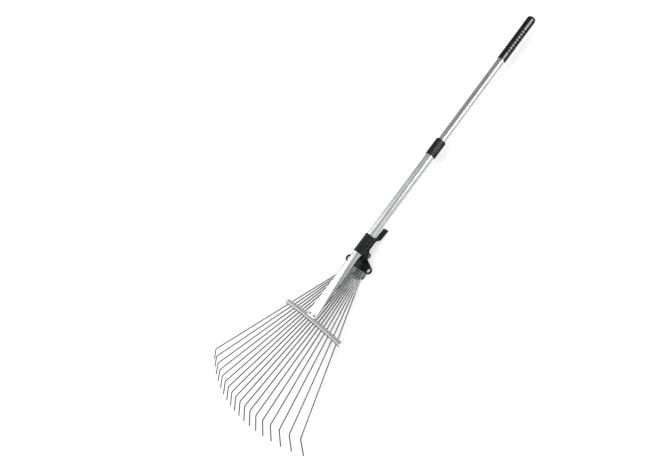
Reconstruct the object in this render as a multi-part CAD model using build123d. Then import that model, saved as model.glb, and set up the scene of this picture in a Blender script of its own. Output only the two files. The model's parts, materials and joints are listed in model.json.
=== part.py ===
from build123d import *
import math
import os

# Telescopic leaf rake with a head that spreads, opened wide and drawn out to full length.
#
# Every piece is built in the rake's own frame: the handle runs along X with the crossbar at
# x = 0, the hand grip at +X and the tine tips at -X, and z = 0 on the handle's centre line.
# The last step moves the whole rake so that it lies on z = 0, centred on its footprint.

# ---- handle tubes --------------------------------------------------------------------
MAIN_RADIUS = 11.0
MAIN_WALL = 0.9
MAIN_END = 490.0              # upper end, hidden in the lock
FLAT_HALF_HEIGHT = 1.3        # half the thickness of the pressed end
FLAT_END = 4.5                # lower edge of the pressed end
FLAT_START = 17.0             # where the pressed end begins to open out
ROUND_START = 178.0           # where the tube is round again
TRIM_HALF_WIDTH = 13.4        # half the width of the pressed end, trimmed at its corners
TRIM_START = 62.0             # where the trim runs out
INNER_RADIUS = 9.5
INNER_WALL = 0.8
INNER_START = 425.0
INNER_END = 862.0
HANDLE_TRAVEL = 235.0

# ---- crossbar ------------------------------------------------------------------------
BAR_HALF_LENGTH = 110.0
BAR_HALF_WIDTH = 5.9
BAR_SHEET = 1.3
BAR_DEPTH = 8.2
BAR_CORNER = 1.4
BAR_BEAD = 1.5                # radius of the rolled bead along the front upper edge
BAR_CREASE = 0.6              # radius of the crease behind the bead
BAR_ARCH_RADIUS = 570.0       # radius of the arch at the height of the wires
BAR_ARCH_LEAN = 17.0          # degrees by which the arch leans, so its ends reach towards the tips
WIRE_HEIGHT_AT_BAR = -5.6
SLOT_HALF_SPAN = 98.8
SLOT_BUNCHING = 0.17          # share by which the middle slots crowd together
SLOT_PLAY = 0.9
SLOT_CORNER = 1.2
TAB_HALF_WIDTH = 12.8         # tab behind the channel, riveted under the pressed tube
TAB_END = 16.0
TAB_CORNER = 4.0
TAB_SINK = 0.08               # step between the tab and the top of the arch
RIVET_SPACING = 16.0
RIVET_X = 10.0
RIVET_RADIUS = 2.0
RIVET_HEAD_RADIUS = 3.6
RIVET_HEAD_HEIGHT = 1.9
RIVET_TAIL_RADIUS = 2.7
RIVET_TAIL_HEIGHT = 1.1

# ---- tines ---------------------------------------------------------------------------
TINE_COUNT = 18
WIRE_RADIUS = 1.4
ROOT_X = 144.0
ROOT_HALF_SPAN = 28.4
ROOT_Z = -27.0
PEG_LENGTH = 5.0              # root corner to the end of the upturned peg
TINE_LENGTH = 388.0           # root corner to the bend
TIP_LENGTH = 37.6
TIP_TURN = 46.3               # degrees that the tip turns down
ROOT_BEND_RADIUS = 2.0
TIP_BEND_RADIUS = 7.0

# ---- slider --------------------------------------------------------------------------
SLIDER_TRAVEL = 225.0
SLEEVE_START = 186.0
SLEEVE_END = 235.0
SLEEVE_RADIUS = 13.2
SLEEVE_BORE = 12.0
SLEEVE_BAND = 4.0             # raised band at each end of the sleeve
SLEEVE_RELIEF = 0.4
LINER_BORE = 11.06
LINER_RADIUS = 11.95
WING_TOP = -21.0
WING_BOTTOM = -24.9
WING_TIP_X = 166.8
WING_TIP_Y = 38.6
WING_TIP_RADIUS = 8.8
WING_EDGE = 0.7               # rounding of the upper edge
EYELET_RADIUS = 5.2
WING_RIM = 1.8
WING_RECESS = 1.5
WING_RIB = 1.1                # half-width of the rib along each wing
NECK_START = 176.0
NECK_END = 189.5
NECK_HALF_WIDTH = 12.0
EAR_INNER = 7.0
EAR_OUTER = 10.4
EAR_RADIUS = 6.2
BLOCK_FRONT = 141.6
BLOCK_STEP = 150.0            # behind this the root block is deeper, down to the keeper
BLOCK_BACK = 176.0
BLOCK_HALF_WIDTH = 34.0
BLOCK_WAIST = 158.4           # behind this the root block narrows, to clear the eyelets
BLOCK_REAR_HALF_WIDTH = 22.0
BLOCK_NOSE_TOP = -19.8
COMB_FLUTES = 9
FLUTE_TOOL = 2.2
COMB_FLUTE_DEPTH = 1.5
KEEPER_TOP = -28.42
KEEPER_BOTTOM = -30.25
PEG_CLEARANCE = 0.05
SCREW_RADIUS = 1.45
SCREW_HOLE = 1.5
SCREW_HEAD_RADIUS = 3.0
SCREW_TOP = -22.0
SCREW_FRONT = (153.6, 27.0)   # x and y of the front pair
SCREW_REAR = (171.0, 15.0)    # x and y of the rear pair

# ---- cam lever -----------------------------------------------------------------------
PIVOT_X = 195.5
PIVOT_Z = -23.5
PIN_RADIUS = 2.0
PIN_HEAD_RADIUS = 3.3
PIN_HEAD = 1.2
PIN_CLEARANCE = 0.05
CAM_RADIUS = 4.0
CAM_OFFSET = 3.4
LEVER_HALF_WIDTH = 6.2
ARM_TOP = -14.4
ARM_THICKNESS = 4.4
PADDLE_HALF_WIDTH = 7.4
PADDLE_START = 238.0
PADDLE_DROP = -24.6           # top of the paddle where it has stepped down from the arm
PADDLE_TOP = -26.6            # top of the paddle at its end
PADDLE_THICKNESS = 3.2
LEVER_END = 270.0
SHOE_HALF_WIDTH = 5.0
SHOE_START = 190.0
SHOE_END = 202.0
SHOE_BOTTOM = -16.05
SHOE_PLAY = 0.3

# ---- twist lock between the tubes ----------------------------------------------------
LOCK_START = 467.0
LOCK_SPLIT = 474.0
LOCK_END = 512.0
LOCK_RADIUS = 12.8
LOCK_STUB_RADIUS = 11.7
COLLET_START = 490.3
COLLET_END = 508.5
COLLET_RADIUS = 11.2
COLLET_SLITS = 4
LOCK_FLUTES = 10
FLUTE_DEPTH = 0.35

# ---- hand grip -----------------------------------------------------------------------
GRIP_START = 749.5
GRIP_END = 877.0
GRIP_RADIUS = 10.9
GRIP_DOME = 8.0
GRIP_GROOVES = 9
GROOVE_START = 771.0
GROOVE_PITCH = 8.0
GROOVE_TOOL = 2.2
GROOVE_DEPTH = 0.9
HANG_HOLE_X = 868.5
HANG_HOLE_RADIUS = 2.6


# ---- small helpers -------------------------------------------------------------------
def rod(start, end, radius):
    """Round bar along X, on the handle's centre line."""
    return Pos((start + end) / 2, 0, 0) * Rot(0, 90, 0) * Cylinder(radius, end - start)


def pipe(start, end, outer, inner):
    """Round tube along X, on the handle's centre line."""
    return rod(start, end, outer) - rod(start - 1, end + 1, inner)


def block(x_span, y_span, z_span):
    """Box between two limits on each axis."""
    size = [span[1] - span[0] for span in (x_span, y_span, z_span)]
    middle = [(span[1] + span[0]) / 2 for span in (x_span, y_span, z_span)]
    return Pos(*middle) * Box(*size)


def upright(x, y, bottom, top, radius):
    """Round bar along Z."""
    return Pos(x, y, (bottom + top) / 2) * Cylinder(radius, top - bottom)


def crosswise(x, z, half_width, radius):
    """Round bar along Y, centred on y = 0."""
    return Pos(x, 0, z) * Rot(90, 0, 0) * Cylinder(radius, 2 * half_width)


# ---- where the wires run -------------------------------------------------------------
def share_across(index):
    """1 at the first tine on the +Y side, -1 at the last."""
    return 1 - 2 * index / (TINE_COUNT - 1)


def root_point(index, slid=0.0):
    """Corner of the wire in the slider, with the slider moved up the handle by slid."""
    return Vector(ROOT_X + slid, ROOT_HALF_SPAN * share_across(index), ROOT_Z)


def arch_up():
    """Unit vector from the centre of the arch to its middle."""
    lean = math.radians(BAR_ARCH_LEAN)
    return Vector(math.sin(lean), 0, math.cos(lean))


def slot_point(index):
    """Where the wire crosses the middle of the crossbar. The slots crowd in the middle."""
    share = share_across(index)
    across = SLOT_HALF_SPAN * ((1 - SLOT_BUNCHING) * share + SLOT_BUNCHING * share**3)
    sag = BAR_ARCH_RADIUS - math.sqrt(BAR_ARCH_RADIUS**2 - across**2)
    return Vector(0, across, WIRE_HEIGHT_AT_BAR) - arch_up() * sag


def tine_direction(index, slid=0.0):
    """Unit vector from the root towards the slot."""
    return (slot_point(index) - root_point(index, slid)).normalized()


def fold_axis(index):
    """Axis that swings a tine from its spread line straight to its folded line."""
    return tine_direction(index).cross(tine_direction(index, SLIDER_TRAVEL)).normalized()


def fold_angle(index):
    """Degrees between the spread line and the folded line."""
    return tine_direction(index).get_angle(tine_direction(index, SLIDER_TRAVEL))


# ---- handle --------------------------------------------------------------------------
def pressed_section(x, half_height, wall=0.0):
    """Section of the tube pressed to a given half height, its girth unchanged."""
    half_flat = max(math.pi / 2 * (MAIN_RADIUS - half_height), 0.02)
    end = half_height - wall
    with BuildSketch(Plane.YZ.offset(x)) as section:
        with BuildLine():
            Line((-half_flat, end), (half_flat, end))
            ThreePointArc((half_flat, end), (half_flat + end, 0), (half_flat, -end))
            Line((half_flat, -end), (-half_flat, -end))
            ThreePointArc((-half_flat, -end), (-half_flat - end, 0), (-half_flat, end))
        make_face()
    return section.sketch


def pressed_end(wall):
    """Solid of the pressed end and the taper behind it, drawn in by the wall."""
    flat = pressed_section(FLAT_START, FLAT_HALF_HEIGHT, wall)
    taper = loft([flat, pressed_section(ROUND_START, MAIN_RADIUS, wall)], ruled=True)
    return taper + extrude(flat, FLAT_END - FLAT_START)


def rivet_places():
    return [(RIVET_X, side * RIVET_SPACING / 2) for side in (1, -1)]


def main_tube():
    outer = pressed_end(0) + rod(ROUND_START, MAIN_END, MAIN_RADIUS)
    bore = rod(ROUND_START, MAIN_END + 1, MAIN_RADIUS - MAIN_WALL)
    tube = outer - pressed_end(MAIN_WALL) - bore
    for side in (1, -1):
        inner = (FLAT_END - 1, side * TRIM_HALF_WIDTH)
        waste = Polygon(inner, (TRIM_START, side * 18), (FLAT_END - 1, side * 18), align=None)
        tube -= Pos(0, 0, -10) * extrude(waste, 20, dir=(0, 0, 1))
    for x, y in rivet_places():
        tube -= upright(x, y, -5, 5, RIVET_RADIUS)
    return tube


def inner_tube():
    return pipe(INNER_START, INNER_END, INNER_RADIUS, INNER_RADIUS - INNER_WALL)


def guide_plug():
    """Plastic foot of the inner tube, which guides it in the main tube."""
    foot = rod(INNER_START - 6, INNER_START, MAIN_RADIUS - MAIN_WALL - 0.05)
    stem = rod(INNER_START, INNER_START + 15, INNER_RADIUS - INNER_WALL - 0.02)
    return foot + stem - rod(INNER_START - 7, INNER_START + 16, INNER_RADIUS - INNER_WALL - 2.5)


# ---- crossbar ------------------------------------------------------------------------
def slot_window(index, face_x):
    """Opening in one flange that the wire keeps to from the spread to the folded line."""
    crossing = slot_point(index)
    places = []
    for slid in (0.0, SLIDER_TRAVEL):
        along = tine_direction(index, slid)
        places.append(crossing + along * (face_x / along.X))
    spread, folded = places
    lean = tine_direction(index)
    width = abs(spread.Y - folded.Y) + 2 * WIRE_RADIUS / abs(lean.X) + SLOT_PLAY
    height = abs(spread.Z - folded.Z) + 2 * WIRE_RADIUS + SLOT_PLAY
    middle = (spread + folded) / 2
    opening = Plane.YZ * RectangleRounded(width, height, SLOT_CORNER)
    return Pos(crossing.X + face_x, middle.Y, middle.Z) * extrude(opening, 2, both=True)


def crossbar():
    """Sheet channel with a rolled front edge, arched about an axis far beneath the middle."""
    top = -FLAT_HALF_HEIGHT
    middle = Vector(0, 0, WIRE_HEIGHT_AT_BAR)
    centre = Axis(middle - arch_up() * BAR_ARCH_RADIUS, arch_up().cross(Vector(0, -1, 0)))
    with BuildSketch(Plane.XZ) as profile:
        with Locations((0, top - BAR_DEPTH / 2)):
            outline = Rectangle(2 * BAR_HALF_WIDTH, BAR_DEPTH)
        fillet(outline.vertices().group_by(Axis.Z)[-1], BAR_CORNER)
        with Locations((0, top - BAR_SHEET - BAR_DEPTH / 2)):
            Rectangle(2 * (BAR_HALF_WIDTH - BAR_SHEET), BAR_DEPTH, mode=Mode.SUBTRACT)
        with Locations((BAR_BEAD - BAR_HALF_WIDTH, top - 0.1)):
            Circle(BAR_BEAD)
        with Locations((2 * BAR_BEAD + BAR_CREASE - BAR_HALF_WIDTH, top)):
            Circle(BAR_CREASE, mode=Mode.SUBTRACT)
    reach = math.degrees(math.asin(BAR_HALF_LENGTH / BAR_ARCH_RADIUS))
    bar = revolve(profile.sketch, axis=centre, revolution_arc=2 * reach).rotate(centre, -reach)
    flange = BAR_HALF_WIDTH - BAR_SHEET / 2
    for index in range(TINE_COUNT):
        bar -= slot_window(index, flange)
        bar -= slot_window(index, -flange)
    tab_wide = (-TAB_HALF_WIDTH, TAB_HALF_WIDTH)
    tab_top = top - TAB_SINK
    tab = block((0, TAB_END), tab_wide, (tab_top - BAR_SHEET, tab_top))
    bar += fillet(tab.edges().filter_by(Axis.Z).group_by(Axis.X)[-1], TAB_CORNER)
    for x, y in rivet_places():
        bar -= upright(x, y, top - 4, top + 1, RIVET_RADIUS)
    return bar


def rivet(x, y):
    """Domed head on the pressed tube, and the upset tail under the web."""
    top = FLAT_HALF_HEIGHT
    web = -FLAT_HALF_HEIGHT - BAR_SHEET - 0.12
    ball = (RIVET_HEAD_RADIUS**2 + RIVET_HEAD_HEIGHT**2) / (2 * RIVET_HEAD_HEIGHT)
    head = Pos(x, y, top + RIVET_HEAD_HEIGHT - ball) * Sphere(ball)
    head &= upright(x, y, top, top + RIVET_HEAD_HEIGHT, RIVET_HEAD_RADIUS)
    shank = upright(x, y, web, top, RIVET_RADIUS)
    tail = upright(x, y, web - RIVET_TAIL_HEIGHT, web, RIVET_TAIL_RADIUS)
    return head + shank + tail


def crossbar_rivets():
    return Compound([rivet(x, y) for x, y in rivet_places()])


# ---- tines ---------------------------------------------------------------------------
def tine(index):
    """One spring wire: upturned peg, long leg through the crossbar, tip turned down."""
    root = root_point(index)
    along = tine_direction(index)
    down = (Vector(0, 0, -1) + along * along.Z).normalized()
    turn = math.radians(TIP_TURN)
    bend = root + along * TINE_LENGTH
    tip = bend + (along * math.cos(turn) + down * math.sin(turn)) * TIP_LENGTH
    peg = root + Vector(0, 0, PEG_LENGTH)
    path = FilletPolyline(peg, root, bend, tip, radius=[ROOT_BEND_RADIUS, TIP_BEND_RADIUS])
    section = Plane(origin=peg, z_dir=(0, 0, -1)) * Circle(WIRE_RADIUS)
    return sweep(section, path=path)


# ---- slider --------------------------------------------------------------------------
def wing_outline(inset=0.0):
    """Plan of the winged plate, drawn in by inset."""
    with BuildSketch() as plan:
        with BuildLine():
            for side in (1, -1):
                CenterArc((WING_TIP_X, side * WING_TIP_Y), WING_TIP_RADIUS - inset, 0, 360)
            back = SLEEVE_START + 2 - inset
            Line((back, NECK_HALF_WIDTH - inset), (back, -NECK_HALF_WIDTH + inset))
        make_hull()
    return plan.sketch


def wing_plate():
    """Winged plate with a raised rim, a rib along each wing and an eyelet near each tip."""
    plate = Pos(0, 0, WING_BOTTOM) * extrude(wing_outline(), WING_TOP - WING_BOTTOM)
    plate = fillet(plate.edges().group_by(Axis.Z)[-1], WING_EDGE)
    recess = Pos(0, 0, WING_TOP - WING_RECESS) * extrude(wing_outline(WING_RIM), WING_RECESS + 1)
    for side in (1, -1):
        y = side * WING_TIP_Y
        recess -= upright(WING_TIP_X, y, WING_BOTTOM, WING_TOP + 1, EYELET_RADIUS + WING_RIM)
        rib_x = (WING_TIP_X - WING_RIB, WING_TIP_X + WING_RIB)
        rib_y = (min(y, 0), max(y, 0))
        recess -= block(rib_x, rib_y, (WING_BOTTOM, WING_TOP + 1))
    recess -= block((NECK_START - 3, 200), (-NECK_HALF_WIDTH, NECK_HALF_WIDTH), (-30, 0))
    plate -= recess
    for side in (1, -1):
        y = side * WING_TIP_Y
        plate -= upright(WING_TIP_X, y, WING_BOTTOM - 1, WING_TOP + 1, EYELET_RADIUS)
    return plate


def shoe_window():
    """Opening under the sleeve that the brake shoe works in."""
    wide = SHOE_HALF_WIDTH + SHOE_PLAY
    return block((SHOE_START - SHOE_PLAY, SHOE_END + SHOE_PLAY), (-wide, wide), (-15, -9))


def ear(side):
    """One cheek that carries the lever pin."""
    inner, outer = sorted((side * EAR_INNER, side * EAR_OUTER))
    cheek = Pos(PIVOT_X, (inner + outer) / 2, PIVOT_Z) * Rot(90, 0, 0)
    cheek *= Cylinder(EAR_RADIUS, EAR_OUTER - EAR_INNER)
    web = block((PIVOT_X - EAR_RADIUS, PIVOT_X + EAR_RADIUS), (inner, outer), (PIVOT_Z, -8))
    return cheek + web


def slider_body():
    """Moulded sleeve, lever cheeks and winged plate in one piece."""
    body = rod(SLEEVE_START, SLEEVE_END, SLEEVE_RADIUS)
    body = chamfer(body.edges().filter_by(GeomType.CIRCLE), 0.6)
    body -= pipe(
        SLEEVE_START + SLEEVE_BAND,
        SLEEVE_END - SLEEVE_BAND,
        SLEEVE_RADIUS + 1,
        SLEEVE_RADIUS - SLEEVE_RELIEF,
    )
    neck_width = (-NECK_HALF_WIDTH, NECK_HALF_WIDTH)
    body += block((NECK_START, NECK_END), neck_width, (WING_BOTTOM, -8))
    body += ear(1) + ear(-1) + wing_plate()
    body -= rod(NECK_START - 1, SLEEVE_END + 1, SLEEVE_BORE)
    body -= shoe_window()
    body -= crosswise(PIVOT_X, PIVOT_Z, EAR_OUTER + 1, PIN_RADIUS)
    for x, y in screw_places():
        body -= upright(x, y, WING_BOTTOM - 1, SCREW_TOP, SCREW_HOLE)
    return body


def slider_liner():
    """Thin low-friction bush between the sleeve and the tube."""
    bush = pipe(SLEEVE_START + 0.5, SLEEVE_END - 0.5, LINER_RADIUS, LINER_BORE)
    return bush - shoe_window()


def screw_places():
    return [(x, side * y) for x, y in (SCREW_FRONT, SCREW_REAR) for side in (1, -1)]


def beside_waist(low, high):
    """The two boxes beside the narrow rear of the comb and the keeper."""
    outside = BLOCK_HALF_WIDTH + 1
    boxes = []
    for side in (1, -1):
        across = sorted((side * BLOCK_REAR_HALF_WIDTH, side * outside))
        boxes.append(block((BLOCK_WAIST, BLOCK_BACK + 1), across, (low, high)))
    return boxes


def root_block():
    """Steel comb that holds the upturned pegs, bolted under the winged plate."""
    wide = (-BLOCK_HALF_WIDTH, BLOCK_HALF_WIDTH)
    wing_front = WING_TIP_X - WING_TIP_RADIUS
    body = block((BLOCK_FRONT, wing_front - 0.1), wide, (WING_BOTTOM - 0.02, BLOCK_NOSE_TOP))
    nose_edges = body.edges().filter_by(Axis.Y).group_by(Axis.Z)[-1]
    body = fillet(nose_edges, 1.0)
    body += block((BLOCK_STEP, BLOCK_BACK), wide, (KEEPER_TOP + 0.02, WING_BOTTOM - 0.02))
    body -= beside_waist(KEEPER_TOP, WING_BOTTOM)
    for index in range(TINE_COUNT):
        root = root_point(index)
        peg_top = ROOT_Z + PEG_LENGTH + 0.3
        body -= upright(root.X, root.Y, KEEPER_TOP, peg_top, WIRE_RADIUS + PEG_CLEARANCE)
    flute = rod(BLOCK_FRONT - 1, wing_front, FLUTE_TOOL)
    flute_z = BLOCK_NOSE_TOP + FLUTE_TOOL - COMB_FLUTE_DEPTH
    for index in range(COMB_FLUTES):
        share = 1 - 2 * index / (COMB_FLUTES - 1)
        body -= Pos(0, (BLOCK_HALF_WIDTH - 4) * share, flute_z) * flute
    for x, y in screw_places():
        body -= upright(x, y, KEEPER_BOTTOM, 0, SCREW_HOLE)
    return body


def screw_head(x, y, growth=0.0):
    """Countersunk head, flush with the underside of the keeper."""
    height = SCREW_HEAD_RADIUS - SCREW_RADIUS
    cone = Cone(SCREW_HEAD_RADIUS + growth, SCREW_RADIUS + growth, height)
    return Pos(x, y, KEEPER_BOTTOM + height / 2) * cone


def keeper_plate():
    """Steel strip under the wires, which keeps the pegs in the comb."""
    wide = (-BLOCK_HALF_WIDTH, BLOCK_HALF_WIDTH)
    plate = block((BLOCK_FRONT, BLOCK_BACK), wide, (KEEPER_BOTTOM, KEEPER_TOP))
    plate -= beside_waist(KEEPER_BOTTOM - 1, KEEPER_TOP + 1)
    plate = fillet(plate.edges().filter_by(Axis.Z), 3)
    for x, y in screw_places():
        plate -= upright(x, y, KEEPER_BOTTOM - 1, KEEPER_TOP + 1, SCREW_HOLE)
        plate -= screw_head(x, y, SCREW_HOLE - SCREW_RADIUS)
    return plate


def keeper_screw(x, y):
    shank = upright(x, y, KEEPER_BOTTOM + 0.5, SCREW_TOP - 0.3, SCREW_RADIUS)
    drive = block((x - 1.9, x + 1.9), (y - 0.35, y + 0.35), (KEEPER_BOTTOM - 1, KEEPER_BOTTOM + 0.8))
    return screw_head(x, y) + shank - drive


def keeper_screws():
    return Compound([keeper_screw(x, y) for x, y in screw_places()])


# ---- cam lever -----------------------------------------------------------------------
def lever_plan():
    """Straight arm that widens into a paddle with a rounded heel and a square end."""
    paddle = Rectangle(LEVER_END - PADDLE_START, 2 * PADDLE_HALF_WIDTH)
    paddle = fillet(paddle.vertices().group_by(Axis.X)[0], PADDLE_HALF_WIDTH - 1.5)
    paddle = fillet(paddle.vertices().group_by(Axis.X)[-1], 1.2)
    arm = Rectangle(60, 2 * LEVER_HALF_WIDTH)
    return Pos(PADDLE_START - 24, 0) * arm + Pos((PADDLE_START + LEVER_END) / 2, 0) * paddle


def cam_lever():
    """Eccentric hub, flat arm under the sleeve, and a paddle that steps down from the arm."""
    cam_z = PIVOT_Z + CAM_OFFSET
    arm_bottom = ARM_TOP - ARM_THICKNESS
    heel = (PADDLE_START + 6, PADDLE_DROP)
    heel_below = (PADDLE_START + 4, PADDLE_DROP - PADDLE_THICKNESS)
    end = (LEVER_END, PADDLE_TOP)
    end_below = (LEVER_END, PADDLE_TOP - PADDLE_THICKNESS)
    with BuildSketch(Plane.XZ) as side_view:
        with BuildLine():
            Polyline(
                (PIVOT_X + 2.5, arm_bottom),
                (PIVOT_X + 9.5, ARM_TOP),
                (PADDLE_START - 5, ARM_TOP),
            )
            Spline((PADDLE_START - 5, ARM_TOP), heel, tangents=[(1, 0), (1, -0.15)])
            Polyline(heel, end, end_below, heel_below)
            Spline(heel_below, (PADDLE_START - 8, arm_bottom), tangents=[(-1, 0.15), (-1, 0)])
            Polyline(
                (PADDLE_START - 8, arm_bottom),
                (PIVOT_X + 12, arm_bottom),
                (PIVOT_X + 3.0, PIVOT_Z - 2.5),
                (PIVOT_X - 1.0, PIVOT_Z),
                (PIVOT_X + 2.5, arm_bottom),
            )
        make_face()
    arm = extrude(side_view.sketch, PADDLE_HALF_WIDTH + 1, both=True)
    arm &= Pos(0, 0, -40) * extrude(lever_plan(), 40)
    hub = crosswise(PIVOT_X, PIVOT_Z, LEVER_HALF_WIDTH, CAM_RADIUS + 1)
    cam = crosswise(PIVOT_X, cam_z, LEVER_HALF_WIDTH, CAM_RADIUS)
    return arm + hub + cam - crosswise(PIVOT_X, PIVOT_Z, 20, PIN_RADIUS + PIN_CLEARANCE)


def lever_pin():
    pin = crosswise(PIVOT_X, PIVOT_Z, EAR_OUTER + PIN_HEAD, PIN_RADIUS)
    for side in (1, -1):
        head = Pos(PIVOT_X, side * (EAR_OUTER + PIN_HEAD / 2), PIVOT_Z) * Rot(90, 0, 0)
        head *= Cylinder(PIN_HEAD_RADIUS, PIN_HEAD)
        pin += head
    return pin


def brake_shoe():
    """Pad that the cam presses up against the tube."""
    wide = (-SHOE_HALF_WIDTH, SHOE_HALF_WIDTH)
    pad = block((SHOE_START, SHOE_END), wide, (SHOE_BOTTOM, -8))
    return pad - rod(SHOE_START - 1, SHOE_END + 1, MAIN_RADIUS + 0.05)


# ---- twist lock ----------------------------------------------------------------------
def lock_base():
    """Ring fixed on the main tube, with the stub that the collar turns on."""
    ring = rod(LOCK_START, LOCK_SPLIT - 0.15, LOCK_RADIUS)
    ring = fillet(ring.edges().filter_by(GeomType.CIRCLE).group_by(Axis.X)[0], 0.8)
    stub = rod(LOCK_SPLIT - 1, MAIN_END, LOCK_STUB_RADIUS)
    return ring + stub - rod(LOCK_START - 1, MAIN_END + 1, MAIN_RADIUS)


def lock_collet():
    """Slit ring that grips the inner tube when the collar is turned."""
    ring = rod(COLLET_START, COLLET_END, COLLET_RADIUS)
    ring = chamfer(ring.edges().filter_by(GeomType.CIRCLE).group_by(Axis.X)[-1], 4.0, 0.9)
    ring -= rod(COLLET_START - 1, COLLET_END + 1, INNER_RADIUS + 0.04)
    slit = block((COLLET_START + 4, COLLET_END + 1), (-0.5, 0.5), (0, COLLET_RADIUS + 1))
    for index in range(COLLET_SLITS):
        ring -= Rot(360 / COLLET_SLITS * index, 0, 0) * slit
    return ring


def lock_collar():
    """Barrel that the hand twists, with shallow flutes and a rounded upper rim."""
    barrel = rod(LOCK_SPLIT + 0.15, LOCK_END, LOCK_RADIUS)
    barrel = fillet(barrel.edges().filter_by(GeomType.CIRCLE).group_by(Axis.X)[-1], 2.4)
    barrel -= rod(LOCK_SPLIT - 1, MAIN_END + 0.2, LOCK_STUB_RADIUS + 0.05)
    barrel -= rod(MAIN_END, COLLET_END + 0.3, COLLET_RADIUS + 0.1)
    barrel -= rod(COLLET_END, LOCK_END + 1, INNER_RADIUS + 0.25)
    tool = LOCK_RADIUS + 3.0 - FLUTE_DEPTH
    for index in range(LOCK_FLUTES):
        flute = rod(LOCK_SPLIT + 5, LOCK_END - 6, 3.0)
        barrel -= Rot(360 / LOCK_FLUTES * index, 0, 0) * Pos(0, 0, tool) * flute
    return barrel


# ---- hand grip -----------------------------------------------------------------------
def hand_grip():
    """Moulded grip with shallow finger rings, a domed end and a hole to hang it by."""
    grip = rod(GRIP_START, GRIP_END, GRIP_RADIUS)
    rims = grip.edges().filter_by(GeomType.CIRCLE).group_by(Axis.X)
    grip = fillet(rims[-1], GRIP_DOME)
    grip = fillet(grip.edges().filter_by(GeomType.CIRCLE).group_by(Axis.X)[0], 0.7)
    for index in range(GRIP_GROOVES):
        ring = Torus(GRIP_RADIUS + GROOVE_TOOL - GROOVE_DEPTH, GROOVE_TOOL)
        grip -= Pos(GROOVE_START + index * GROOVE_PITCH, 0, 0) * Rot(0, 90, 0) * ring
    grip -= rod(GRIP_START - 1, INNER_END, INNER_RADIUS)
    return grip - upright(HANG_HOLE_X, 0, -20, 20, HANG_HOLE_RADIUS)


# ---- the whole rake ------------------------------------------------------------------
def rake_parts():
    """Every node in the rake's own frame."""
    parts = {
        "main_tube": main_tube(),
        "inner_tube": inner_tube(),
        "guide_plug": guide_plug(),
        "crossbar": crossbar(),
        "crossbar_rivets": crossbar_rivets(),
        "slider_body": slider_body(),
        "slider_liner": slider_liner(),
        "root_block": root_block(),
        "keeper_plate": keeper_plate(),
        "keeper_screws": keeper_screws(),
        "cam_lever": cam_lever(),
        "lever_pin": lever_pin(),
        "brake_shoe": brake_shoe(),
        "lock_base": lock_base(),
        "lock_collet": lock_collet(),
        "lock_collar": lock_collar(),
        "hand_grip": hand_grip(),
    }
    for index in range(TINE_COUNT):
        parts[f"tine_{index + 1:02d}"] = tine(index)
    return parts


def resting_place(parts):
    """Move that lays the rake on z = 0 with the middle of its footprint at the origin."""
    boxes = [piece.bounding_box() for piece in parts.values()]
    low_x = min(box.min.X for box in boxes)
    high_x = max(box.max.X for box in boxes)
    floor = min(box.min.Z for box in boxes)
    return Pos(-(low_x + high_x) / 2, 0, -floor)


os.makedirs("parts", exist_ok=True)
PARTS = rake_parts()
PLACE = resting_place(PARTS)
for name, piece in PARTS.items():
    export_step(PLACE * piece, f"parts/{name}.step")
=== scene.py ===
import json

import bpy
from mathutils import Matrix, Vector

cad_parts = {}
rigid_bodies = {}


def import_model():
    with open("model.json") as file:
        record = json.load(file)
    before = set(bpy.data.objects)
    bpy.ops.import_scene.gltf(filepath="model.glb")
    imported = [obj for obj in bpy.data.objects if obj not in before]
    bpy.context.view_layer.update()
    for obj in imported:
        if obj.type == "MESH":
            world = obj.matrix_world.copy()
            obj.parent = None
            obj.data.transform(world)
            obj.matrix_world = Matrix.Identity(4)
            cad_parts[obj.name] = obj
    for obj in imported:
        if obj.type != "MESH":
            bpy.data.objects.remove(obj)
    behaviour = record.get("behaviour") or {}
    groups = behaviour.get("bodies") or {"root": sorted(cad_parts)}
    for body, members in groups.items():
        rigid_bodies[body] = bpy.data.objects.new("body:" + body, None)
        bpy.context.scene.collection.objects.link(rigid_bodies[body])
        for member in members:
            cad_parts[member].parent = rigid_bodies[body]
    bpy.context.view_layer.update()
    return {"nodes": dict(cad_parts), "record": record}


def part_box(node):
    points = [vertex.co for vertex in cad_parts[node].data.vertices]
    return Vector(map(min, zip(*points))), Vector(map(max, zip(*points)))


# Looks of the leaf rake: materials, floor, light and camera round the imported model.
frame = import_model()

# The handle's own frame: x = 0 at the crossbar, z = 0 on the tube's centre line.
LOCK_LOW, LOCK_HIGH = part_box("lock_base")
LOCK_FROM_BAR = 0.467
HANDLE_ORIGIN = Vector((LOCK_LOW[0] - LOCK_FROM_BAR, 0, (LOCK_LOW[2] + LOCK_HIGH[2]) / 2))

# Camera in the handle's frame, metres.
CAMERA_PLACE = Vector((0.07833, -1.23428, 1.20697))
CAMERA_RIGHT = Vector((0.59751, -0.55329, -0.58039))
CAMERA_UP = Vector((0.79991, 0.36088, 0.47948))
CAMERA_LENS = 41.88
SENSOR_WIDTH = 36.0
CLIP_START = 0.01
CLIP_END = 60.0

# Studio: a dome that is pale at the horizon and dimmer above, by the sine of the height.
DOME_STOPS = [(0.0, 1.0), (0.16, 0.85), (0.4, 0.5), (1.0, 0.5)]
END_SUN_STRENGTH = 0.6
END_SUN_SPREAD = 0.9
# Light table that the rake lies on: its glow, half its side and its drop below the rake's feet.
TABLE_GLOW = 0.5
TABLE_HALF_SIDE = 9.0
TABLE_DROP = 0.0002

# Handle-frame x between which the wires' colour goes from the painted dark reflection of the tips
# to the painted highlight of the roots.
PAINTED_REFLECTION_FADE = (0.1, 0.145)
# Handle-frame x between which the main tube's colour goes from the darker pressed end to the drawn
# tube.
PRESS_FADE = (0.16, 0.21)
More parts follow.
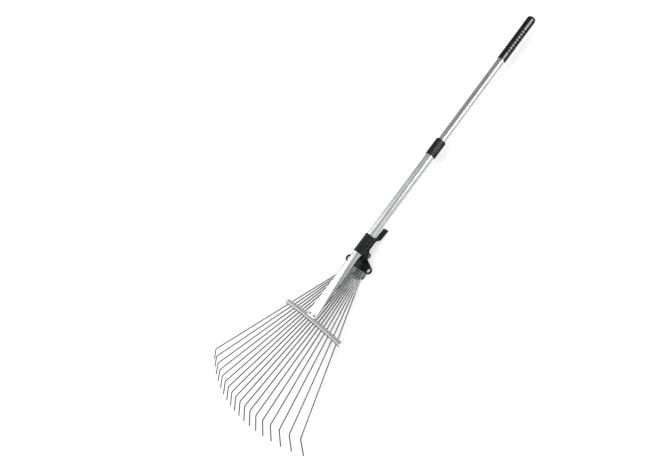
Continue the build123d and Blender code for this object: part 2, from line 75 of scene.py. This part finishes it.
# Crossbar: plating colours, half width, how far its ends lean towards the tips per metre of
# span squared, and the painted shade and highlight bands across it from the front edge to the back.
BAR_ZINC = ((0.85, 0.87, 0.865), (0.95, 0.965, 0.96))
BAR_HALF_WIDTH = 0.0059
BAR_BOW = 0.2565
# Painted shade at the front edge, painted highlight on the bead, then the web a little lighter
# towards the back.
BAR_PAINTED_BANDS = [
    (0.0, 0.12),
    (0.16, 0.15),
    (0.2, 0.98),
    (0.39, 0.98),
    (0.45, 0.36),
    (0.65, 0.39),
    (0.95, 0.47),
]
# Surface grain of drawn tube, as noise scale on each axis, bump strength and bump depth.
DRAWN_GRAIN = ((6, 500, 500), 0.05, 0.00004)
# The same for the rolled and plated zinc, with the spread of its spangle.
ZINC_GRAIN = ((900, 30, 900), 0.15, 0.00008, 0.12)
# Reflection of the plastics at a square look.
PLASTIC_SHINE = 0.15
# Nodes whose shine comes from a box of their own.
BLACK_NODES = ("slider_body", "cam_lever", "lock_base", "lock_collar", "hand_grip")


# ---- node helpers --------------------------------------------------------------------
def new_material(name):
    mat = bpy.data.materials.new(name)
    mat.use_nodes = True
    tree = mat.node_tree
    tree.nodes.clear()
    out = tree.nodes.new("ShaderNodeOutputMaterial")
    shader = tree.nodes.new("ShaderNodeBsdfPrincipled")
    tree.links.new(shader.outputs["BSDF"], out.inputs["Surface"])
    return mat, tree, shader


def coordinates(tree, scale):
    """Object coordinates stretched by scale on each axis."""
    place = tree.nodes.new("ShaderNodeTexCoord")
    stretch = tree.nodes.new("ShaderNodeMapping")
    stretch.inputs["Scale"].default_value = scale
    tree.links.new(place.outputs["Object"], stretch.inputs["Vector"])
    return stretch.outputs["Vector"]


def noise(tree, scale, detail=3.0, roughness=0.5, distortion=0.0):
    """Noise value between 0 and 1; scale is per metre on each axis."""
    node = tree.nodes.new("ShaderNodeTexNoise")
    node.inputs["Scale"].default_value = 1.0
    node.inputs["Detail"].default_value = detail
    node.inputs["Roughness"].default_value = roughness
    node.inputs["Distortion"].default_value = distortion
    tree.links.new(coordinates(tree, scale), node.inputs["Vector"])
    return node.outputs["Fac"]


def voronoi(tree, scale):
    """Random grey of each cell."""
    node = tree.nodes.new("ShaderNodeTexVoronoi")
    node.inputs["Scale"].default_value = 1.0
    tree.links.new(coordinates(tree, scale), node.inputs["Vector"])
    grey = tree.nodes.new("ShaderNodeRGBToBW")
    tree.links.new(node.outputs["Color"], grey.inputs["Color"])
    return grey.outputs["Val"]


def ramp(tree, value, stops):
    """Colour ramp from a list of (position, colour or grey)."""
    node = tree.nodes.new("ShaderNodeValToRGB")
    bar = node.color_ramp
    while len(bar.elements) < len(stops):
        bar.elements.new(0.5)
    for element, (position, colour) in zip(bar.elements, stops):
        element.position = position
        rgb = (colour,) * 3 if isinstance(colour, (int, float)) else colour
        element.color = (*rgb, 1.0)
    tree.links.new(value, node.inputs["Fac"])
    return node.outputs["Color"]


def mixed(tree, factor, first, second, mode="MIX"):
    node = tree.nodes.new("ShaderNodeMix")
    node.data_type = "RGBA"
    node.blend_type = mode
    if isinstance(factor, float):
        node.inputs["Factor"].default_value = factor
    else:
        tree.links.new(factor, node.inputs["Factor"])
    tree.links.new(first, node.inputs["A"])
    tree.links.new(second, node.inputs["B"])
    return node.outputs["Result"]


def bump(tree, shader, value, strength, depth):
    node = tree.nodes.new("ShaderNodeBump")
    node.inputs["Strength"].default_value = strength
    node.inputs["Distance"].default_value = depth
    tree.links.new(value, node.inputs["Height"])
    tree.links.new(node.outputs["Normal"], shader.inputs["Normal"])


# ---- materials -----------------------------------------------------------------------
def metal(name, dark, light, rough, along, grain, grain_depth, spangle=0.0):
    """Plated steel: cloudy plating, fine drawing lines along one axis, and faint rubs."""
    mat, tree, shader = new_material(name)
    shader.inputs["Metallic"].default_value = 1.0
    cloud = noise(tree, (40, 40, 40), 5.0, 0.6)
    colour = ramp(tree, cloud, [(0.3, dark), (0.7, light)])
    if spangle:
        cells = ramp(tree, voronoi(tree, (260, 260, 260)), [(0.2, 1.0 - spangle), (0.8, 1.0)])
        colour = mixed(tree, 1.0, colour, cells, "MULTIPLY")
    tree.links.new(colour, shader.inputs["Base Color"])
    lines = noise(tree, along, 4.0, 0.65)
    rub = noise(tree, (90, 90, 90), 6.0, 0.7, 1.5)
    drawn = ramp(tree, lines, [(0.3, 0.0), (0.7, 1.0)])
    rubbed = ramp(tree, rub, [(0.35, 0.0), (0.75, 1.0)])
    both = mixed(tree, 0.5, drawn, rubbed)
    dullness = ramp(tree, both, [(0.1, rough[0]), (0.9, rough[1])])
    tree.links.new(dullness, shader.inputs["Roughness"])
    bump(tree, shader, lines, grain, grain_depth)
    return mat


def object_axes(tree):
    """Object coordinates, as one socket for each axis letter."""
    place = tree.nodes.new("ShaderNodeTexCoord")
    split = tree.nodes.new("ShaderNodeSeparateXYZ")
    tree.links.new(place.outputs["Object"], split.inputs["Vector"])
    return split.outputs


def share_between(tree, value, start, end):
    """0 where value is below start and 1 above end, both x in the handle's frame."""
    share = tree.nodes.new("ShaderNodeMapRange")
    share.inputs["From Min"].default_value = HANDLE_ORIGIN.x + start
    share.inputs["From Max"].default_value = HANDLE_ORIGIN.x + end
    tree.links.new(value, share.inputs["Value"])
    return share.outputs["Result"]


def main_tube_material():
    """Satin plated tube, its colour a little darker on the pressed end."""
    light, dark = (0.52, 0.53, 0.532), (0.42, 0.43, 0.432)
    mat = metal("satin_tube", dark, light, (0.22, 0.36), *DRAWN_GRAIN)
    tree = mat.node_tree
    shader = tree.nodes["Principled BSDF"]
    drawn = shader.inputs["Base Color"].links[0].from_socket
    cloud = noise(tree, (40, 40, 40), 5.0, 0.6)
    pressed = ramp(tree, cloud, [(0.3, (0.36, 0.37, 0.372)), (0.7, (0.46, 0.47, 0.472))])
    behind_press = share_between(tree, object_axes(tree)["X"], *PRESS_FADE)
    plating = mixed(tree, behind_press, pressed, drawn)
    tree.links.new(plating, shader.inputs["Base Color"])
    return mat


def multiply_add(tree, value, factor, extra):
    """value * factor + extra, where each may be a number or a socket."""
    node = tree.nodes.new("ShaderNodeMath")
    node.operation = "MULTIPLY_ADD"
    for socket, source in zip(node.inputs, (value, factor, extra)):
        if isinstance(source, float):
            socket.default_value = source
        else:
            tree.links.new(source, socket)
    return node.outputs["Value"]


def crossbar_material():
    """Zinc plate with painted shade along the front edge and a painted highlight on the bead behind
    it.
    """
    mat = metal("crossbar_zinc", *BAR_ZINC, (0.20, 0.36), *ZINC_GRAIN)
    tree = mat.node_tree
    shader = tree.nodes["Principled BSDF"]
    plating = shader.inputs["Base Color"].links[0].from_socket
    axes = object_axes(tree)
    bowed = multiply_add(tree, axes["Y"], BAR_BOW, 0.0)
    straight = multiply_add(tree, bowed, axes["Y"], axes["X"])
    across = share_between(tree, straight, -BAR_HALF_WIDTH, BAR_HALF_WIDTH)
    # Bands across the bar multiplied into the plating: painted shade at the front edge, painted
    # highlight on the bead, then the web.
    painted_shade_and_highlight = ramp(tree, across, BAR_PAINTED_BANDS)
    tree.links.new(mixed(tree, 1.0, plating, painted_shade_and_highlight, "MULTIPLY"), shader.inputs["Base Color"])
    return mat


def wire_material():
    """Drawn spring wire, painted darker towards the tips as a painted dark reflection and lighter
    at the roots as a painted highlight.
    """
    mat, tree, shader = new_material("wire_steel")
    shader.inputs["Metallic"].default_value = 1.0
    cloud = noise(tree, (60, 60, 60), 5.0, 0.6)
    # Painted dark reflection of the tips and painted highlight of the roots, blended by the mask
    # below.
    painted_dark_reflection = ramp(tree, cloud, [(0.3, (0.055, 0.058, 0.057)), (0.7, (0.12, 0.125, 0.123))])
    painted_root_highlight = ramp(tree, cloud, [(0.3, (0.38, 0.40, 0.395)), (0.7, (0.52, 0.54, 0.535))])
    near_roots = share_between(tree, object_axes(tree)["X"], *PAINTED_REFLECTION_FADE)
    plating = mixed(tree, near_roots, painted_dark_reflection, painted_root_highlight)
    tree.links.new(plating, shader.inputs["Base Color"])
    tree.links.new(ramp(tree, cloud, [(0.3, 0.22), (0.7, 0.36)]), shader.inputs["Roughness"])
    bump(tree, shader, noise(tree, (90, 400, 400), 3.0), 0.05, 0.00003)
    return mat


def plastic(name, dark, light, rough, grain_scale, grain_strength, grain_depth):
    """Moulded plastic or rubber: fine texture, handling marks and a cloudy colour."""
    mat, tree, shader = new_material(name)
    shader.inputs["Specular IOR Level"].default_value = PLASTIC_SHINE
    cloud = noise(tree, (70, 70, 70), 6.0, 0.65)
    tree.links.new(ramp(tree, cloud, [(0.35, dark), (0.75, light)]), shader.inputs["Base Color"])
    marks = noise(tree, (150, 300, 300), 6.0, 0.7, 1.0)
    dullness = ramp(tree, marks, [(0.3, rough[0]), (0.7, rough[1])])
    tree.links.new(dullness, shader.inputs["Roughness"])
    bump(tree, shader, noise(tree, (grain_scale,) * 3, 3.0), grain_strength, grain_depth)
    return mat


# Slot: dark colour, light colour, range of roughness, then the grain that metal() takes.
METALS = {
    "tube_steel": ((0.42, 0.43, 0.432), (0.54, 0.55, 0.552), (0.14, 0.26), *DRAWN_GRAIN),
    "zinc_steel": ((0.52, 0.54, 0.54), (0.66, 0.68, 0.68), (0.20, 0.36), *ZINC_GRAIN),
    "comb_steel": (
        (0.13, 0.155, 0.145),
        (0.27, 0.31, 0.29),
        (0.30, 0.50),
        (300, 300, 300),
        0.3,
        0.0002,
        0.2,
    ),
    "rivet_steel": (
        (0.10, 0.105, 0.105),
        (0.22, 0.23, 0.23),
        (0.30, 0.48),
        (300, 300, 300),
        0.2,
        0.0001,
    ),
    "bright_steel": (
        (0.78, 0.79, 0.80),
        (0.90, 0.91, 0.92),
        (0.08, 0.20),
        (900, 900, 900),
        0.05,
        0.00003,
    ),
}
# Slot: dark colour, light colour, range of roughness, then the grain's scale, strength and depth.
PLASTICS = {
    "black_plastic": (
        (0.0010, 0.0013, 0.0013),
        (0.005, 0.0055, 0.0055),
        (0.30, 0.46),
        1800,
        0.2,
        0.00008,
    ),
    "grip_plastic": (
        (0.0008, 0.0008, 0.0009),
        (0.003, 0.003, 0.0032),
        (0.18, 0.30),
        1500,
        0.08,
        0.00004,
    ),
    "nylon": ((0.62, 0.60, 0.55), (0.74, 0.73, 0.69), (0.35, 0.5), 2000, 0.2, 0.00006),
    "shoe_rubber": ((0.02, 0.02, 0.02), (0.045, 0.045, 0.045), (0.6, 0.8), 2500, 0.4, 0.0001),
}


def slot_materials():
    """One material for each slot of the record."""
    materials = {slot: metal(slot, *looks) for slot, looks in METALS.items()}
    materials["wire_steel"] = wire_material()
    for slot, looks in PLASTICS.items():
        materials[slot] = plastic(slot, *looks)
    return materials


def node_meshes(name):
    node = frame["nodes"][name]
    return [piece for piece in [node, *node.children_recursive] if piece.type == "MESH"]


def dress_nodes(materials):
    """Gives every CAD node the material of its slot, except three that look different."""
    for part in frame["record"]["subparts"]:
        for piece in node_meshes(part["node"]):
            piece.data.materials.clear()
            piece.data.materials.append(materials[part["material_slot"]])
    own_materials = {
        "lever_pin": materials["rivet_steel"],
        "main_tube": main_tube_material(),
        "crossbar": crossbar_material(),
    }
    for name, material in own_materials.items():
        for piece in node_meshes(name):
            piece.data.materials[0] = material


# ---- floor, light, camera ------------------------------------------------------------
def floor_material():
    mat, tree, shader = new_material("pale_floor")
    cloud = noise(tree, (1.5, 1.5, 1.5), 3.0)
    tree.links.new(ramp(tree, cloud, [(0.3, 0.86), (0.7, 0.9)]), shader.inputs["Base Color"])
    shader.inputs["Roughness"].default_value = 0.9
    shader.inputs["Specular IOR Level"].default_value = 0.1
    shader.inputs["Emission Color"].default_value = (1.0, 1.0, 1.0, 1.0)
    shader.inputs["Emission Strength"].default_value = TABLE_GLOW
    return mat


def make_floor():
    half = TABLE_HALF_SIDE
    mesh = bpy.data.meshes.new("floor")
    corners = [(-half, -half, 0), (half, -half, 0), (half, half, 0), (-half, half, 0)]
    mesh.from_pydata(corners, [], [(0, 1, 2, 3)])
    floor = bpy.data.objects.new("floor", mesh)
    floor.location.z = -TABLE_DROP
    bpy.context.collection.objects.link(floor)
    mesh.materials.append(floor_material())
    return floor


def lit_group(name, pieces, state):
    """Light-linking collection that keeps its lights to the pieces, or off them."""
    group = bpy.data.collections.new(name)
    for piece in pieces:
        group.objects.link(piece)
    for member in group.collection_objects:
        member.light_linking.link_state = state
    return group


def aimed(name, data, place, target):
    """A light at place that faces target and stays out of the pictures."""
    light = bpy.data.objects.new(name, data)
    light.location = place
    light.rotation_euler = (Vector(target) - Vector(place)).to_track_quat("-Z", "Y").to_euler()
    light.visible_camera = False
    bpy.context.collection.objects.link(light)
    return light


def soft_box(name, place, target, width, height, power, group):
    """Soft box that shapes the shine on the pieces its group allows."""
    data = bpy.data.lights.new(name, "AREA")
    data.shape = "RECTANGLE"
    data.size = width
    data.size_y = height
    data.energy = power
    aimed(name, data, place, target).light_linking.receiver_collection = group


def wide_sun(name, direction):
    """Even light from far off, whose shadows fall along the handle."""
    data = bpy.data.lights.new(name, "SUN")
    data.energy = END_SUN_STRENGTH
    data.angle = END_SUN_SPREAD
    aimed(name, data, direction, (0, 0, 0))


def from_handle(x, y, z):
    """Place in the row frame of a point in the handle's frame."""
    return HANDLE_ORIGIN + Vector((x, y, z))


def make_world():
    world = bpy.data.worlds.new("studio")
    world.use_nodes = True
    tree = world.node_tree
    backdrop = tree.nodes["Background"]
    place = tree.nodes.new("ShaderNodeTexCoord")
    split = tree.nodes.new("ShaderNodeSeparateXYZ")
    tree.links.new(place.outputs["Generated"], split.inputs["Vector"])
    tree.links.new(ramp(tree, split.outputs["Z"], DOME_STOPS), backdrop.inputs["Color"])
    bpy.context.scene.world = world
    bpy.context.scene.view_settings.view_transform = "Standard"


# Soft boxes: place and target in the handle's frame, width, height, watts, and what each may light.
BAR_MIDDLE, HEAD, MIDDLE, GRIP = (0, 0, 0), (0.1, 0, 0), (0.3, 0, 0), (0.7, 0, 0)
SOFT_BOXES = [
    ("far_box", (-0.15, 1.5, 1.45), HEAD, 1.3, 0.9, 13, "off_floor_and_bar"),
    ("top_box", (0.05, 0.45, 2.0), HEAD, 1.3, 1.0, 9, "off_floor_and_bar"),
    ("front_box", (0.4, -0.9, 2.3), MIDDLE, 1.1, 1.4, 3.5, "off_floor"),
    ("near_box", (1.1, -1.4, 0.4), GRIP, 0.8, 0.4, 13, "off_floor"),
    ("grip_strip", (1.4, -1.25, 0.62), GRIP, 0.45, 1.3, 80, "black_only"),
    ("bar_box", (-0.1, 1.3, 1.3), BAR_MIDDLE, 1.4, 2.2, 6.5, "bar_only"),
    ("lip_box", (-1.4, 0.6, 0.35), BAR_MIDDLE, 1.0, 0.5, 8, "bar_only"),
]
# Low suns beyond each end of the handle.
SUN_DIRECTIONS = {"head_sun": (-0.8, 0, 0.6), "grip_sun": (0.8, 0, 0.6)}


def make_lights(floor):
    make_world()
    for name, direction in SUN_DIRECTIONS.items():
        wide_sun(name, direction)
    bar = node_meshes("crossbar")
    black = [piece for name in BLACK_NODES for piece in node_meshes(name)]
    groups = {
        "off_floor": lit_group("off_floor", [floor], "EXCLUDE"),
        "off_floor_and_bar": lit_group("off_floor_and_bar", [floor, *bar], "EXCLUDE"),
        "black_only": lit_group("black_only", black, "INCLUDE"),
        "bar_only": lit_group("bar_only", bar, "INCLUDE"),
    }
    for name, place, target, width, height, power, group in SOFT_BOXES:
        ends = from_handle(*place), from_handle(*target)
        soft_box(name, *ends, width, height, power, groups[group])


def make_camera():
    data = bpy.data.cameras.new("camera")
    data.lens = CAMERA_LENS
    data.sensor_width = SENSOR_WIDTH
    data.clip_start = CLIP_START
    data.clip_end = CLIP_END
    camera = bpy.data.objects.new("camera", data)
    right = CAMERA_RIGHT.normalized()
    back = right.cross(CAMERA_UP).normalized()
    up = back.cross(right)
    turn = Matrix((right, up, back)).transposed().to_4x4()
    camera.matrix_world = Matrix.Translation(HANDLE_ORIGIN + CAMERA_PLACE) @ turn
    bpy.context.collection.objects.link(camera)
    bpy.context.scene.camera = camera


make_camera()
make_lights(make_floor())
dress_nodes(slot_materials())
